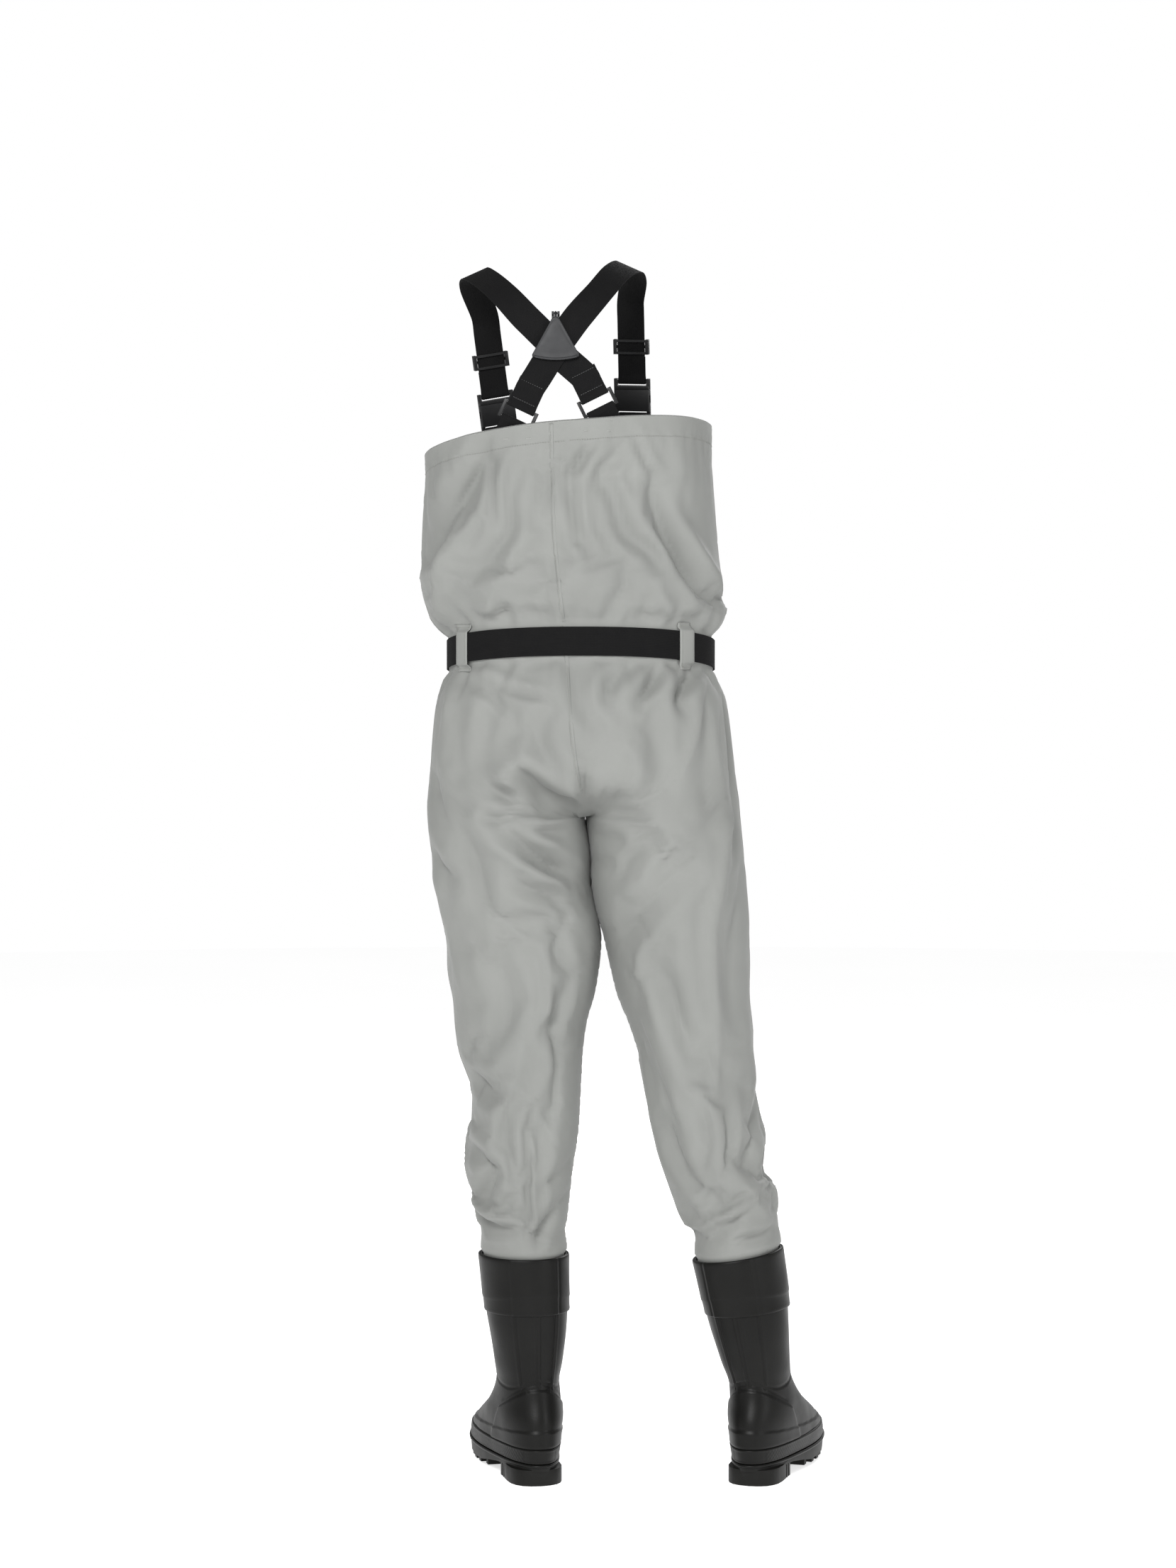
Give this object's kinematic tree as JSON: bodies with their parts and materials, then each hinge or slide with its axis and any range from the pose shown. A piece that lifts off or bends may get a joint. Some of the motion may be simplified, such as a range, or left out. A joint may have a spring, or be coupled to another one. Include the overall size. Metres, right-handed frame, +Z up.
{
  "type": "chest waders",
  "caption": "Breathable chest waders with joined rubber boots, webbing belt, chest pocket and crossed elastic suspenders, standing as worn.",
  "frame": {"origin": "middle of the footprint, on the ground under the boots", "axes": "+Z up, front of the waders towards -Y, wearer's left towards +X"},
  "size_m": [0.5455, 0.3553, 1.6256],
  "materials": {
    "fabric": "matt laminated polyamide, sage grey, fine weave",
    "seam_tape": "smooth welded film",
    "webbing": "black ribbed webbing",
    "rubber": "semi-matt black rubber",
    "plastic": "moulded, matt",
    "foam": "felt-topped foam",
    "steel": "plated"
  },
  "bodies": {
    "waders": {"left_back_panel": "fabric", "left_front_panel": "fabric", "left_side_seam_tape": "seam_tape", "left_inseam_tape": "seam_tape", "left_knee_patch": "fabric", "right_back_panel": "fabric", "right_front_panel": "fabric", "right_side_seam_tape": "seam_tape", "right_inseam_tape": "seam_tape", "right_knee_patch": "fabric", "centre_seam_tape": "seam_tape", "back_left_belt_loop": "fabric", "back_right_belt_loop": "fabric", "front_left_belt_loop": "fabric", "front_right_belt_loop": "fabric", "keeper_back_plate": "plastic", "keeper_hinge_pin": "steel", "left_suspender_strap": "webbing", "right_suspender_strap": "webbing", "left_back_ring": "plastic", "left_back_tab": "webbing", "right_back_ring": "plastic", "right_back_tab": "webbing", "left_buckle_socket": "plastic", "left_front_tab": "webbing", "right_buckle_socket": "plastic", "right_front_tab": "webbing", "belt_buckle_socket": "plastic", "belt_webbing": "webbing", "chest_pocket": "fabric", "pocket_loop_tape": "webbing", "zip_tape": "webbing", "left_boot_shell": "rubber", "left_boot_cuff": "rubber", "left_foxing_band": "rubber", "left_outsole": "rubber", "left_insole": "foam", "left_shank": "steel", "right_boot_shell": "rubber", "right_boot_cuff": "rubber", "right_foxing_band": "rubber", "right_outsole": "rubber", "right_insole": "foam", "right_shank": "steel"},
    "keeper_cover": {"keeper_cover": "plastic"},
    "left_buckle_plug": {"left_buckle_plug": "plastic", "left_strap_turn": "webbing"},
    "left_adjuster": {"left_adjuster": "plastic"},
    "right_buckle_plug": {"right_buckle_plug": "plastic", "right_strap_turn": "webbing"},
    "right_adjuster": {"right_adjuster": "plastic"},
    "belt_plug": {"belt_buckle_plug": "plastic", "belt_tail": "webbing"},
    "pocket_flap": {"chest_pocket_flap": "fabric", "flap_hook_tape": "webbing"},
    "zip_slider": {"zip_slider": "steel"},
    "zip_pull": {"zip_pull": "steel"}
  },
  "joints": [
    {"name": "keeper_cover_hinge", "type": "hinge", "parent": "waders", "child": "keeper_cover", "pos_m": [0.0948, 0.1446, 1.54534], "axis": [1, 0, 0], "range_deg": [0, 100]},
    {"name": "left_buckle_release", "type": "slide", "parent": "waders", "child": "left_buckle_plug", "axis": [0.1261, 0.1996, 0.9717], "range_m": [0, 0.022]},
    {"name": "left_adjuster_slide", "type": "slide", "parent": "left_buckle_plug", "child": "left_adjuster", "axis": [0.1261, 0.1996, 0.9717], "range_m": [0, 0.02]},
    {"name": "right_buckle_release", "type": "slide", "parent": "waders", "child": "right_buckle_plug", "axis": [0.0212, 0.2012, 0.9793], "range_m": [0, 0.022]},
    {"name": "right_adjuster_slide", "type": "slide", "parent": "right_buckle_plug", "child": "right_adjuster", "axis": [0.0212, 0.2012, 0.9793], "range_m": [0, 0.02]},
    {"name": "belt_buckle_release", "type": "slide", "parent": "waders", "child": "belt_plug", "axis": [1, 0, 0], "range_m": [0, 0.022]},
    {"name": "pocket_flap_hinge", "type": "hinge", "parent": "waders", "child": "pocket_flap", "pos_m": [0.0798, -0.11042, 1.3635], "axis": [-1, 0, 0], "range_deg": [0, 140]},
    {"name": "zip_slider_slide", "type": "slide", "parent": "waders", "child": "zip_slider", "axis": [0, -0.0324, -0.9995], "range_m": [0, 0.034]},
    {"name": "zip_pull_hinge", "type": "hinge", "parent": "zip_slider", "child": "zip_pull", "pos_m": [0.13877, -0.12588, 1.2812], "axis": [-0.9869, -0.1615, 0.0052], "range_deg": [0, 120]}
  ]
}
